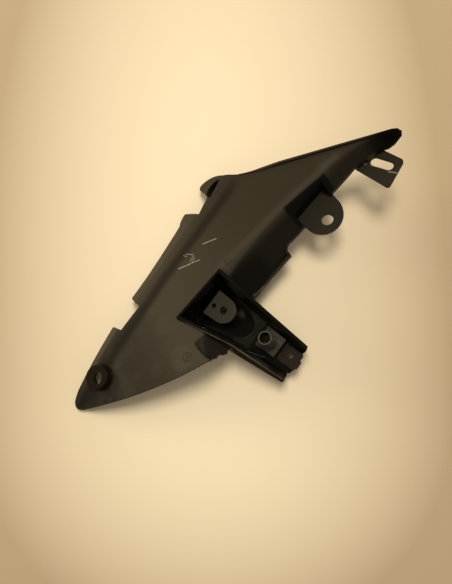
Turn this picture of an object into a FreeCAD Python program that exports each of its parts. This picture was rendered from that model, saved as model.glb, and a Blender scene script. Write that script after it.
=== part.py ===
"""Inner panel of a motorcycle, one black plastic moulding with a broken-off bracket arm.

The panel is drawn in its mould frame: X runs along the panel from the pointed tip, Y to its left, and Z
is the direction in which the mould opens, so every bore, ear and boss stands along Z. The last step lays
the moulding on a table, as it comes to rest on its tip, its left flange and the end of its arm.
"""
import FreeCAD, Part
import math
import os

Vector = FreeCAD.Vector
Rotation = FreeCAD.Rotation
Placement = FreeCAD.Placement
UP = Vector(0, 0, 1)

# Where a cut through the whole panel begins, and how far it goes
BELOW = "-60"
THROUGH = "120"

# Driving sizes in millimetres and degrees
SIZES = [
    ("skin_wall", 2.5, "wall of the moulded skin"),
    ("face_level", 15.0, "height of the main face over the tip"),
    ("valley_depth", 2.6, "how far the long valley lies under the face"),
    ("crest_offset", 7.0, "from the valley to the crest of the left flange"),
    ("crest_height", 1.2, "how far the crest stands over the valley"),
    ("edge_level", -5.5, "lowest pull of the edge of the left flange"),
    ("crest_round", 3.0, "roundness of the crest of the left flange"),
    ("ridge_round", 4.5, "roundness of the ridge over the right wall"),
    ("wall_foot_level", -5.0, "height of the foot of the right wall"),
    ("scoop_depth", 2.4, "hollow in the right wall behind the lip"),
    ("rim_wall", 1.8, "thickness of the rim along the top edge"),
    ("rim_top", 17.0, "top of the rim"),
    ("rim_foot", 3.5, "foot of the rim at the far tip"),
    ("lip_wall", 1.6, "walls of the grooved lip under the right wall"),
    ("lip_depth", 3.5, "depth of the groove in the lip"),
    ("hook_pocket_depth", 12.0, "depth of the gutter behind the hook"),
    ("boss_x", 31.0, "tip boss"),
    ("boss_y", -0.8, "tip boss"),
    ("boss_shift", 1.5, "middle of the tip boss, to the left of its slot"),
    ("boss_diameter", 16.8, "tip boss at its top"),
    ("boss_draft", 1.6, "how much wider the tip boss is at its foot, all round"),
    ("boss_top", 15.5, "top of the tip boss"),
    ("boss_slot_width", 5.8, "slot in the tip boss"),
    ("boss_slot_length", 9.0, "slot in the tip boss, end to end"),
    ("boss_slot_turn", 36.0, "direction of the slot in the tip boss"),
    ("boss_roof", 3.0, "wall over the hollow of the tip boss"),
    ("ear_x", 228.1, "hole of the round ear"),
    ("ear_y", -15.0, "hole of the round ear"),
    ("ear_bore", 8.6, "bore of the round ear"),
    ("ear_half", 14.7, "half the width of the round ear, and its outer radius"),
    ("ear_centre_back", 5.4, "from the hole back to the centre of the outer radius"),
    ("ear_top", -3.0, "top of both ears"),
    ("ear_plate", 3.0, "thickness of both ears"),
    ("ear_pocket_wall", 1.8, "walls around the recess behind the round ear"),
    ("ear_pocket_lean", 2.8, "how far the inner wall of the recess leans out at its back"),
    ("ear_pocket_back", 17.2, "from the hole to the back of the recess"),
    ("far_x", 282.4, "middle of the slot in the far ear"),
    ("far_y", -9.6, "middle of the slot in the far ear"),
    ("far_slot_length", 16.8, "slot in the far ear, end to end"),
    ("far_slot_width", 7.0, "slot in the far ear"),
    ("far_slot_turn", -63.6, "direction of the slot in the far ear"),
    ("arm_x", 125.5, "middle of the root of the arm"),
    ("arm_y", -1.5, "middle of the root of the arm"),
    ("arm_turn", 13.8, "turn of the arm about the mould direction"),
    ("arm_length", 82.0, "arm before its end broke off"),
    ("arm_wall", 2.5, "walls of the arm"),
    ("arm_root_wall", 1.6, "wall across the root of the arm"),
    ("arm_root_skew", 2.0, "how far each end of the root stands out of square"),
    ("arm_root_half", 23.0, "half the width at the root"),
    ("arm_waist", 40.0, "from the root to the waist of the left rim"),
    ("arm_waist_half", 15.0, "left rim at the waist"),
    ("arm_rim_half", 12.4, "left rim at the end"),
    ("arm_end_half", 15.7, "right side and left foot at the end"),
    ("arm_rim_level", 17.0, "rim at the root"),
    ("arm_knee", 24.0, "from the root to where the rim turns down"),
    ("arm_end_rim", -22.7, "rim at the end"),
    ("arm_floor_depth", 14.0, "floor under the rim"),
    ("arm_floor_slope", 4.5, "foot of the sloped inner faces"),
    ("arm_foot_level", -14.5, "underside at the root"),
    ("arm_foot_knee", 40.0, "from the root to where the underside turns down"),
    ("arm_end_foot", -48.6, "left foot at the end"),
    ("arm_end_right_foot", -55.2, "right foot at the end"),
    ("pocket_floor", -12.0, "floor of the deep pocket at the root"),
    ("pocket_half", 9.6, "half the width at its round end"),
    ("pocket_length", 41.0, "from the root to its round end"),
    ("pad_top", 0.0, "top of the fixing pad in the pocket"),
    ("pad_half", 9.4, "half the width and end radius of the pad"),
    ("pad_near", 5.3, "from the root to the straight side of the pad"),
    ("pad_bore", 5.8, "larger hole in the pad"),
    ("pad_bore_at", 17.0, "larger hole, from the root"),
    ("pad_shift", 0.8, "larger hole and middle of the pad, to the right"),
    ("pad_pin_bore", 3.5, "smaller hole in the pad"),
    ("pad_pin_at", 8.8, "smaller hole, from the root"),
    ("pad_pin_shift", -0.6, "smaller hole, to the right"),
    ("block_side", 15.4, "square block under the tube"),
    ("block_at", 54.8, "middle of the block, from the root"),
    ("block_shift", 3.1, "middle of the block, to the right"),
    ("block_top", -15.0, "top of the block"),
    ("tube_height", 19.0, "tube over the block"),
    ("tube_diameter", 10.0, "outside of the tube"),
    ("tube_bore", 7.8, "bore of the tube"),
    ("block_height", 11.0, "block under its top"),
    ("end_plate_width", 13.4, "width of the end plate"),
    ("end_plate_shift", 2.6, "middle of the end plate, to the right"),
    ("plate_step", 12.0, "end plate under the top of the block"),
    ("plate_height", 8.0, "end plate under its top"),
    ("plate_bore", 3.5, "hole in the end plate"),
    ("plate_bore_at", 69.4, "hole in the end plate, from the root"),
    ("rest_roll", 15.609, "roll of the resting panel"),
    ("rest_pitch", 7.667, "pitch of the resting panel"),
    ("rest_x", -150.771, "place of the tip, from the middle of the panel"),
    ("rest_y", 7.976, "place of the tip, from the middle of the panel"),
    ("rest_lift", 2.920, "height of the tip's drawing origin over the table"),
]

# Stations along the panel: the tip, the lower flange, the arm, the ears and the far tip
VALLEY = [(-14, -12), (18, -3.4), (50, 7.5), (78, 15), (95, 20.3), (112, 25.5), (150, 36), (190, 47),
          (235, 57), (280, 63), (320, 67)]
EDGE = [(-14, -1), (18, 15.5), (50, 29.5), (78, 39.5), (95, 45.5), (112, 51.5), (150, 65), (190, 74), (235, 84),
        (280, 90), (320, 94)]
RIDGE = [(-14, -50), (18, -54), (52, -62), (98, -66), (102.5, -44), (106, -25), (160, -2.4), (197, 3.4),
         (245, 7.6), (283, 4.5), (318, -3)]
FOOT = [(-14, -72), (18, -76), (54, -82), (106, -80), (113, -52), (126, -39.5), (155, -23.2), (196, -11.5),
        (244, -4), (286, -3.5), (320, -13)]
LEVEL_UNDER_FACE = [17.5, 6.6, 1.6, 0.1, 0, 0, 0, 0, 0, 0, 0]
FOOT_SHARE = [0, 0, 0, 0, 0, 0, 0, 0, 0, 0.12, 0.4]
EDGE_RISE = [4.5, 5.5, 4.2, 4.2, 1.2, -1.5, -1, 8.3, 8.6, 8.6, 8.6]
SCOOP_SHARE = [0, 0, 0, 0, 0, 0, 1, 1, 0, 0, 0]


def make_sheet(doc):
    """The spreadsheet that holds every driving size under its own name."""
    sheet = doc.addObject("Spreadsheet::Sheet", "sizes")
    for row, (alias, value, note) in enumerate(SIZES, start=1):
        sheet.set("A%d" % row, alias)
        sheet.set("B%d" % row, str(value))
        sheet.set("C%d" % row, note)
        sheet.setAlias("B%d" % row, alias)
    doc.recompute()
    return sheet


def read_sizes(sheet):
    return {alias: float(sheet.get(alias)) for alias, _, _ in SIZES}


def bind(thing, **expressions):
    """Ties properties of an object to cells of the sheet."""
    for name, expression in expressions.items():
        thing.setExpression(name.replace("__", "."), expression)
    return thing


# Profiles, prisms and round pieces
def sketch(doc, name, start, steps):
    """A closed sketch of lines, and of arcs where a step gives a point on the way."""
    profile = doc.addObject("Sketcher::SketchObject", name)
    here = Vector(start[0], start[1], 0)
    first = here
    for step in steps:
        end = Vector(step[-1][0], step[-1][1], 0)
        if len(step) == 1:
            profile.addGeometry(Part.LineSegment(here, end), False)
        else:
            way = Vector(step[0][0], step[0][1], 0)
            profile.addGeometry(Part.Arc(here, way, end), False)
        here = end
    if here.distanceToPoint(first) > 1e-6:
        profile.addGeometry(Part.LineSegment(here, first), False)
    return profile


def prism(doc, name, profile, level, height):
    """A prism on a sketch, from a level over a height, both given as expressions."""
    bind(profile, Placement__Base__z=level)
    solid = doc.addObject("Part::Extrusion", name)
    solid.Base = profile
    solid.DirMode = "Custom"
    solid.Dir = UP
    solid.Solid = True
    return bind(solid, LengthFwd=height)


def lines(points):
    return [(point,) for point in points]


def cylinder(doc, name, x, y, level, diameter, height):
    solid = doc.addObject("Part::Cylinder", name)
    return bind(solid, Radius="(%s) / 2" % diameter, Height=height, Placement__Base__x=x,
                Placement__Base__y=y, Placement__Base__z=level)


def fuse(doc, name, shapes):
    result = doc.addObject("Part::MultiFuse", name)
    result.Shapes = shapes
    return result


def cut(doc, name, base, tool):
    result = doc.addObject("Part::Cut", name)
    result.Base = base
    result.Tool = tool
    return result


def common(doc, name, base, tool):
    result = doc.addObject("Part::Common", name)
    result.Base = base
    result.Tool = tool
    return result


def shape_object(doc, name, shape):
    thing = doc.addObject("Part::Feature", name)
    thing.Shape = shape
    return thing


# The free form of the skin
def blend_line(one, other, share):
    """A line of stations between two others."""
    return [(p[0] + share * (q[0] - p[0]), p[1] + share * (q[1] - p[1])) for p, q in zip(one, other)]


def shifted(line, across):
    return [(x, y + across) for x, y in line]


def beside(line, distance):
    """The same line moved square to its own course, to its left."""
    moved = []
    for i, (x, y) in enumerate(line):
        x0, y0 = line[max(i - 1, 0)]
        x1, y1 = line[min(i + 1, len(line) - 1)]
        reach = math.hypot(x1 - x0, y1 - y0)
        moved.append((x - distance * (y1 - y0) / reach, y + distance * (x1 - x0) / reach))
    return moved


def skin_rails(size):
    """Lines along the panel, from the left flange over the face to the foot of the right wall."""
    face = [size["face_level"] - under for under in LEVEL_UNDER_FACE]
    foot = size["wall_foot_level"]
    valley = [level - size["valley_depth"] for level in face]
    crest_line = shifted(VALLEY, size["crest_offset"])
    crest = [level + size["crest_height"] for level in valley]
    turn_line = shifted(crest_line, size["crest_round"])
    turn = [level - 1.2 for level in crest]
    edge = [size["edge_level"] + rise for rise in EDGE_RISE]
    outside_line = blend_line(crest_line, EDGE, 1.4)
    outside = [e - 0.4 * (c - e) for c, e in zip(crest, edge)]
    inner_line = blend_line(VALLEY, RIDGE, 0.3)
    shoulder_line = beside(RIDGE, size["ridge_round"])
    drop = [level - foot for level in face]
    steep_line = blend_line(RIDGE, FOOT, 0.35)
    steep = [level - 0.35 * fall - size["scoop_depth"] * share
             for level, fall, share in zip(face, drop, SCOOP_SHARE)]
    below_line = blend_line(RIDGE, FOOT, 1.6)
    foot_levels = [foot + share * fall for share, fall in zip(FOOT_SHARE, drop)]
    below = [level - 0.6 * (top - level) for level, top in zip(foot_levels, face)]
    rails = [
        (outside_line, outside),
        (EDGE, edge),
        (turn_line, turn),
        (crest_line, crest),
        (VALLEY, valley),
        (inner_line, [level - 0.4 for level in face]),
        (blend_line(VALLEY, RIDGE, 0.62), face),
        (shoulder_line, face),
        (RIDGE, [level - 0.3 for level in face]),
        (steep_line, steep),
        (FOOT, foot_levels),
        (below_line, below),
    ]
    return [[Vector(x, y, z) for (x, y), z in zip(line, levels)] for line, levels in rails]


def even_knots(count, degree):
    """Knots of a clamped, evenly spaced spline, and how often each one counts."""
    spans = count - degree
    knots = [float(i) for i in range(spans + 1)]
    return knots, [degree + 1] + [1] * (spans - 1) + [degree + 1]


def middle_parameters(count, degree):
    """The parameter at which each row of control points pulls the most."""
    knots, counts = even_knots(count, degree)
    flat = [knot for knot, times in zip(knots, counts) for _ in range(times)]
    return [sum(flat[i + 1:i + degree + 1]) / degree for i in range(count)]


def surface_over(net):
    """A smooth surface held by a net of control points, rails by stations."""
    across, along = 2, 3
    knots_u, counts_u = even_knots(len(net), across)
    knots_v, counts_v = even_knots(len(net[0]), along)
    surface = Part.BSplineSurface()
    surface.buildFromPolesMultsKnots(net, counts_u, counts_v, knots_u, knots_v, False, False, across, along)
    return surface


def sunk_net(surface, net, depth):
    """The same net on the hidden side of a wall of even thickness."""
    sunk = []
    for u, rail in zip(middle_parameters(len(net), 2), net):
        row = []
        for v, point in zip(middle_parameters(len(rail), 3), rail):
            normal = surface.normal(u, v)
            if normal.z < 0:
                normal = -normal
            row.append(point - normal * depth)
        sunk.append(row)
    return sunk


def under(surface, depth=90):
    """Everything beneath a surface, down to well under the panel."""
    return surface.toShape().extrude(UP * -depth)


def make_skin(doc, size):
    rails = skin_rails(size)
    top = surface_over(rails)
    bottom = surface_over(sunk_net(top, rails, size["skin_wall"]))
    below_face = shape_object(doc, "below_face", under(top))
    below_skin = shape_object(doc, "below_skin", under(bottom))
    return below_face, below_skin


# Outline of the skin in plan
TIP_START = (0.9, 3.1)
OUTLINE = [
    ((3.6, 5.2), (8.9, 8.6)),
    ((30.5, 17.5), (56.0, 26.9)),
    ((57.9, 27.2), (59.4, 25.6)),
    ((63.4, 18.6),),
    ((64.3, 17.5), (65.6, 17.6)),
    ((84.4, 21.6),),
    ((85.4, 22.4), (85.3, 23.6)),
    ((82.7, 33.2),),
    ((82.7, 35.2), (84.4, 35.9)),
    ((91.1, 37.6),),
    ((99.7, 40.4),),
    ((143.2, 55.8),),
    ((145.6, 59.6),),
    ((150.4, 62.4),),
    ((152.4, 62.2), (153.4, 60.6)),
    ((160.2, 47.9),),
    ((160.9, 46.8), (162.2, 47.0)),
    ((172.8, 52.6),),
    ((173.8, 53.6), (173.9, 55.0)),
    ((173.6, 63.5),),
    ((173.0, 66.0), (172.8, 67.6)),
    ((174.0, 70.4), (176.8, 71.0)),
    ((185.2, 67.2), (192.5, 58.8)),
    ((203.0, 49.0), (216.0, 41.2)),
    ((299.6, -3.2),),
    ((303.6, -3.4), (305.2, -4.2)),
    ((304.4, -5.2),),
    ((297.6, -5.6),),
    ((292.7, -4.9),),
    ((289.6, -3.7),),
    ((284.0, -2.0),),
    ((266.4, -0.4),),
    ((243.0, -2.6),),
    ((213.2, -7.6),),
    ((199.2, -9.6),),
    ((195.0, -10.4), (192.8, -12.0)),
    ((192.4, -13.6),),
    ((153.2, -23.0),),
    ((135.0, -33.6),),
    ((121.0, -42.6),),
    ((114.6, -42.4),),
    ((113.3, -43.9),),
    ((110.9, -43.9),),
    ((110.0, -42.7),),
    ((107.7, -42.8),),
    ((106.6, -43.8),),
    ((104.9, -43.4),),
    ((102.3, -43.8),),
    ((52.0, -29.8), (4.2, -6.4)),
    ((-0.2, -1.8), TIP_START),
]


def make_plate(doc, size, below_face, below_skin):
    """The skin and its rim, trimmed to the outline."""
    skin = cut(doc, "thick_face", below_face, below_skin)
    band_line = [(203.0, 52.0), (216.0, 43.0), (297.0, 0.8), (307.0, -4.0)]
    wall = size["rim_wall"] + 1.6
    inner = [(x - wall * 0.46, y - wall * 0.89) for x, y in reversed(band_line)]
    band_sketch = sketch(doc, "rim_plan", band_line[0], lines(band_line[1:] + inner))
    band = prism(doc, "rim_band", band_sketch, BELOW, THROUGH)
    low, high = size["rim_foot"], size["rim_top"]
    side = [(200, 10), (200, 13), (228, high), (299, high), (303, high - 5), (306, low), (288, low),
            (270, low + 7), (225, low + 8)]
    side_wire = Part.makePolygon([Vector(x, -40, z) for x, z in side + side[:1]])
    side_block = shape_object(doc, "rim_side", Part.Face(side_wire).extrude(Vector(0, 120, 0)))
    rim = common(doc, "rim", band, side_block)
    outline_sketch = sketch(doc, "outline", TIP_START, OUTLINE)
    outline = prism(doc, "outline_block", outline_sketch, BELOW, THROUGH)
    blank = fuse(doc, "blank", [skin, rim])
    return common(doc, "plate", blank, outline)


# Ears
def ear_plan(size):
    """The round ear: straight sides from under the right wall and a round outer end."""
    x, y = size["ear_x"], size["ear_y"] + size["ear_centre_back"]
    half = size["ear_half"]
    back = y + 13.5
    return (x - half, back), [((x - half, y),), ((x, y - half), (x + half, y)), ((x + half, back + 3.6),)]


def make_round_ear(doc, size, below_face):
    start, steps = ear_plan(size)
    plate_level = "sizes.ear_top - sizes.ear_plate"
    full = prism(doc, "round_ear_plate", sketch(doc, "round_ear_plan", start, steps), plate_level,
                 "sizes.ear_plate")
    x = size["ear_x"]
    half = size["ear_half"]
    wall = size["ear_pocket_wall"]
    back = size["ear_y"] + size["ear_pocket_back"]
    slope = 0.157
    y_left = back - slope * half
    y_right = back + slope * half
    far = size["ear_y"] - size["ear_half"] - 10
    lean = size["ear_pocket_lean"]
    block_points = [(x - half - lean, y_left + wall), (x - half, far), (x + half, far),
                    (x + half, y_right + wall)]
    outer = prism(doc, "ear_recess_block", sketch(doc, "ear_recess_outer", block_points[0],
                                                   lines(block_points[1:])), plate_level, "30")
    inner_points = [(x - half + wall - lean, y_left), (x - half + wall, far - 5), (x + half - wall, far - 5),
                    (x + half - wall, y_right)]
    opening = prism(doc, "ear_recess", sketch(doc, "ear_recess_inner", inner_points[0],
                                               lines(inner_points[1:])), "sizes.ear_top", "40")
    walls = cut(doc, "ear_recess_walls", common(doc, "ear_recess_trim", outer, below_face), opening)
    start, steps = ear_plan(size)
    start = (start[0] - lean, start[1])
    kept = prism(doc, "ear_wall_limit", sketch(doc, "ear_wall_plan", start, steps), plate_level, "40")
    return full, common(doc, "ear_walls", walls, kept), opening


def make_slotted_ear(doc, size, below_face):
    """The far ear, and the step that joins it to the foot of the right wall."""
    corners = [(266.9, 3.0), (267.6, -1.8)]
    steps = lines(corners[1:]) + [((273.0, -23.6),), ((274.1, -25.6), (276.4, -25.6)), ((292.2, -19.5),),
                                  ((294.0, -18.0), (294.0, -16.0)), ((290.0, -3.4),), ((288.0, 2.0),)]
    plate = prism(doc, "slotted_ear_plate", sketch(doc, "slotted_ear_plan", corners[0], steps),
                  "sizes.ear_top - sizes.ear_plate", "sizes.ear_plate")
    strip = [(266.9, 3.0), (267.2, -0.8), (284.2, -2.4), (288.6, -2.8), (288.0, 2.0)]
    step = prism(doc, "ear_step_block", sketch(doc, "ear_step_plan", strip[0], lines(strip[1:])),
                 "sizes.ear_top - sizes.ear_plate", "20")
    return fuse(doc, "slotted_ear", [plate, common(doc, "ear_step", step, below_face)])


def make_slot(doc, name, size, place, level, height):
    """A slot through the part, its sizes named after its place."""
    half_width = size[place + "_slot_width"] / 2
    reach = size[place + "_slot_length"] / 2 - half_width
    plan = sketch(doc, name + "_plan", (-reach, half_width), [
        ((-reach - half_width, 0), (-reach, -half_width)), ((reach, -half_width),),
        ((reach + half_width, 0), (reach, half_width)), ((-reach, half_width),)])
    plan.Placement = Placement(Vector(size[place + "_x"], size[place + "_y"], 0),
                               Rotation(UP, size[place + "_slot_turn"]))
    return prism(doc, name, plan, level, height)


# Lip under the right wall and gutter behind the hook
def make_lip(doc, size):
    outer = [(192.4, -10.4), (153.0, -21.0), (152.0, -23.8), (170.1, -20.0), (190.2, -16.8)]
    steps = lines(outer[1:]) + [((192.2, -16.4), (192.6, -14.6))]
    level = "sizes.wall_foot_level - sizes.lip_depth - sizes.lip_wall"
    lip = prism(doc, "lip_block", sketch(doc, "lip_plan", outer[0], steps), level,
                "sizes.lip_depth + sizes.lip_wall")
    groove_points = [(190.8, -12.6), (158.0, -21.0), (170.1, -18.5), (190.6, -15.2)]
    groove = prism(doc, "lip_groove", sketch(doc, "lip_groove_plan", groove_points[0],
                                              lines(groove_points[1:])),
                   "sizes.wall_foot_level - sizes.lip_depth", "sizes.lip_depth + 5")
    return lip, groove


def make_gutter(doc, size, below_face):
    """A cup behind the hook, open upward between the face and the rounded lip of the hook."""
    start = (173.4, 54.4)
    steps = [((176.4, 58.6), (180.2, 60.2)), ((185.4, 60.0), (189.2, 57.8)), ((182.4, 54.0),),
             ((175.2, 50.6),)]
    opening = prism(doc, "gutter", sketch(doc, "gutter_plan", start, steps),
                    "sizes.face_level - 3 - sizes.hook_pocket_depth", "sizes.hook_pocket_depth + 20")
    cup_start = (174.2, 54.6)
    cup_steps = [((175.2, 60.6), (180.0, 62.4)), ((186.4, 61.8), (191.4, 58.2)), ((183.2, 52.0),),
                 ((174.8, 50.0),)]
    block = prism(doc, "gutter_block", sketch(doc, "gutter_block_plan", cup_start, cup_steps),
                  "sizes.face_level - 3 - sizes.hook_pocket_depth - sizes.skin_wall",
                  "sizes.hook_pocket_depth + 20")
    return common(doc, "gutter_cup", block, below_face), opening


# The bracket arm, in its own frame: X to the right, minus Y along the arm
def lerp(one, other, share):
    return one + share * (other - one)


def arm_rim(size, t):
    share = max(0.0, t - size["arm_knee"]) / (size["arm_length"] - size["arm_knee"])
    return lerp(size["arm_rim_level"], size["arm_end_rim"], share)


def arm_foot(size, t, end="arm_end_foot"):
    share = max(0.0, t - size["arm_foot_knee"]) / (size["arm_length"] - size["arm_foot_knee"])
    return lerp(size["arm_foot_level"], size[end], share)


def arm_right(size, t):
    return lerp(size["arm_root_half"], size["arm_end_half"], t / size["arm_length"])


def arm_left_rim(size, t):
    waist = size["arm_waist"]
    if t < waist:
        return -lerp(size["arm_root_half"], size["arm_waist_half"], t / waist)
    return -lerp(size["arm_waist_half"], size["arm_rim_half"], (t - waist) / (size["arm_length"] - waist))


def arm_left_foot(size, t):
    return -arm_right(size, t)


def root_skew(size, s, t):
    """The root of the arm runs aslant: how far down the arm a point of it lies."""
    if t >= size["arm_knee"]:
        return 0.0
    return size["arm_root_skew"] * s / size["arm_root_half"]


def section_wire(size, t, points):
    return Part.makePolygon([Vector(s, -t - root_skew(size, s, t), z) for s, z in points + points[:1]])


def arm_loft(doc, name, size, section, stations):
    """A ruled loft through upright sections of the arm."""
    wires = [section_wire(size, t, section(size, t)) for t in stations]
    return shape_object(doc, name, Part.makeLoft(wires, True, True))


def outer_section(size, t):
    return [(arm_left_rim(size, t), arm_rim(size, t)), (arm_left_foot(size, t), arm_foot(size, t)),
            (arm_right(size, t), arm_foot(size, t, "arm_end_right_foot")),
            (arm_right(size, t), arm_rim(size, t))]


def hollow_section(size, t):
    """The open channel between the rims, with sloped inner faces."""
    wall = size["arm_wall"]
    slope = size["arm_floor_slope"]
    rim = arm_rim(size, t)
    floor = rim - size["arm_floor_depth"]
    left = arm_left_rim(size, t) + wall
    right = arm_right(size, t) - wall
    rise = slope / size["arm_floor_depth"]
    return [(left - rise, rim + 1), (left + 0.5 * slope, floor), (right - slope, floor),
            (right + rise, rim + 1)]


def underside_section(size, t):
    wall = size["arm_wall"]
    roof = arm_rim(size, t) - size["arm_floor_depth"] - wall
    left = arm_left_foot(size, t) + wall
    right = arm_right(size, t) - wall
    foot = arm_foot(size, t, "arm_end_right_foot") - 2
    flare = (arm_left_rim(size, t) - arm_left_foot(size, t)) * (roof - foot) / (arm_rim(size, t) - foot)
    return [(left + flare, roof), (left, foot), (right, foot), (right, roof)]


def pad_outline(size):
    half = size["pad_half"]
    near = size["pad_near"]
    centre = size["pad_bore_at"]
    middle = size["pad_shift"]
    flare = 0.6
    return (middle - half - flare, -near), [
        ((middle - half, -centre),), ((middle, -centre - half), (middle + half, -centre)),
        ((middle + half + flare, -near),)]


def pocket_shape(size, root, half, end, near):
    """The deep pocket narrows from the root to a round end."""
    skew = root_skew(size, root, 0)
    return (-root, skew - near), [((-half, half - end + 1.5),), ((0.8, -end), (half + 1.0, half - end - 1)),
                                  ((root, -near - skew),)]


def end_box(doc, name, margin, level, height):
    """A box between the block and the end of the arm, wider than the end plate by a margin."""
    box = doc.addObject("Part::Box", name)
    return bind(box, Length="sizes.end_plate_width + 2 * (%s)" % margin,
                Width="sizes.arm_length - sizes.block_at - sizes.block_side / 2", Height=height,
                Placement__Base__x="sizes.end_plate_shift - sizes.end_plate_width / 2 - (%s)" % margin,
                Placement__Base__y="-sizes.arm_length", Placement__Base__z=level)


def make_arm(doc, size):
    length = size["arm_length"]
    stations = [0, size["arm_knee"], size["arm_foot_knee"], length]
    outer = arm_loft(doc, "arm_outer", size, outer_section, stations)
    inner_stations = [size["arm_root_wall"]] + stations[1:3] + [length + 1]
    channel = arm_loft(doc, "arm_channel", size, hollow_section, inner_stations)
    underside = arm_loft(doc, "arm_underside_space", size, underside_section, inner_stations)
    half = size["pocket_half"]
    wall = size["arm_wall"]
    root = size["arm_root_half"] - wall - 1.5
    end = size["pocket_length"]
    near = size["arm_root_wall"]
    pocket_plan = sketch(doc, "pocket_plan", *pocket_shape(size, root, half, end, near))
    pocket = prism(doc, "pocket", pocket_plan, "sizes.pocket_floor", THROUGH)
    shell_plan = sketch(doc, "pocket_shell_plan", *pocket_shape(size, root + wall, half + wall, end + wall, 0))
    shell = prism(doc, "pocket_shell", shell_plan, "sizes.pocket_floor - sizes.arm_wall", THROUGH)
    plate_shell = end_box(doc, "plate_shell", "sizes.arm_wall",
                          "sizes.block_top - sizes.plate_step - sizes.arm_wall", THROUGH)
    walls = fuse(doc, "arm_inner_walls", [shell, plate_shell])
    return outer, channel, cut(doc, "arm_underside", underside, walls), pocket


def make_arm_details(doc, size):
    pad = prism(doc, "pad", sketch(doc, "pad_plan", *pad_outline(size)), "sizes.pocket_floor",
                "sizes.pad_top - sizes.pocket_floor")
    block = doc.addObject("Part::Box", "block")
    bind(block, Length="sizes.block_side", Width="sizes.block_side", Height="sizes.block_height",
         Placement__Base__x="sizes.block_shift - sizes.block_side / 2",
         Placement__Base__y="-sizes.block_at - sizes.block_side / 2",
         Placement__Base__z="sizes.block_top - sizes.block_height")
    tube = cylinder(doc, "tube", "sizes.block_shift", "-sizes.block_at", "sizes.block_top",
                    "sizes.tube_diameter", "sizes.tube_height")
    plate = end_box(doc, "end_plate", "0", "sizes.block_top - sizes.plate_step - sizes.plate_height",
                    "sizes.plate_height")
    above = end_box(doc, "plate_recess", "0", "sizes.block_top - sizes.plate_step", THROUGH)
    bores = [
        cylinder(doc, "tube_bore", "sizes.block_shift", "-sizes.block_at", BELOW, "sizes.tube_bore", THROUGH),
        cylinder(doc, "pad_bore", "sizes.pad_shift", "-sizes.pad_bore_at", BELOW, "sizes.pad_bore", THROUGH),
        cylinder(doc, "pad_pin_bore", "sizes.pad_pin_shift", "-sizes.pad_pin_at", BELOW,
                 "sizes.pad_pin_bore", THROUGH),
        cylinder(doc, "plate_bore", "sizes.block_shift", "-sizes.plate_bore_at", BELOW, "sizes.plate_bore",
                 THROUGH),
    ]
    return [pad], [block, tube, plate], bores, above


BREAK_LINE = [(30, 73.0), (15.4, 73.0), (11.6, 74.4), (9.6, 74.3), (7.6, 75.6), (4.6, 75.4), (3.3, 77.2),
              (-2.2, 77.0), (-2.8, 76.0), (-7.4, 75.2), (-7.9, 73.7), (-13.0, 73.6), (-14.2, 75.0), (-30, 75.4)]


def make_break(doc, size):
    """What is missing beyond the ragged line on which the arm broke, upright as the panel lies."""
    upright = resting(size).Rotation.inverted().multVec(UP)
    upright = Rotation(UP, -size["arm_turn"]).multVec(upright)
    level = size["arm_end_rim"] - 10
    points = [(s, -t) for s, t in BREAK_LINE] + [(-30, -110), (30, -110)]
    base = [Vector(x, y, level) - upright * 60 for x, y in points]
    solid = Part.Face(Part.makePolygon(base + base[:1])).extrude(upright * 120)
    return shape_object(doc, "broken_off", solid)


def arm_place(size):
    return Placement(Vector(size["arm_x"], size["arm_y"], 0), Rotation(UP, size["arm_turn"]))


def resting(size):
    turn = Rotation(0, -size["rest_pitch"], -size["rest_roll"])
    return Placement(Vector(size["rest_x"], size["rest_y"], size["rest_lift"]), turn)


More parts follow.
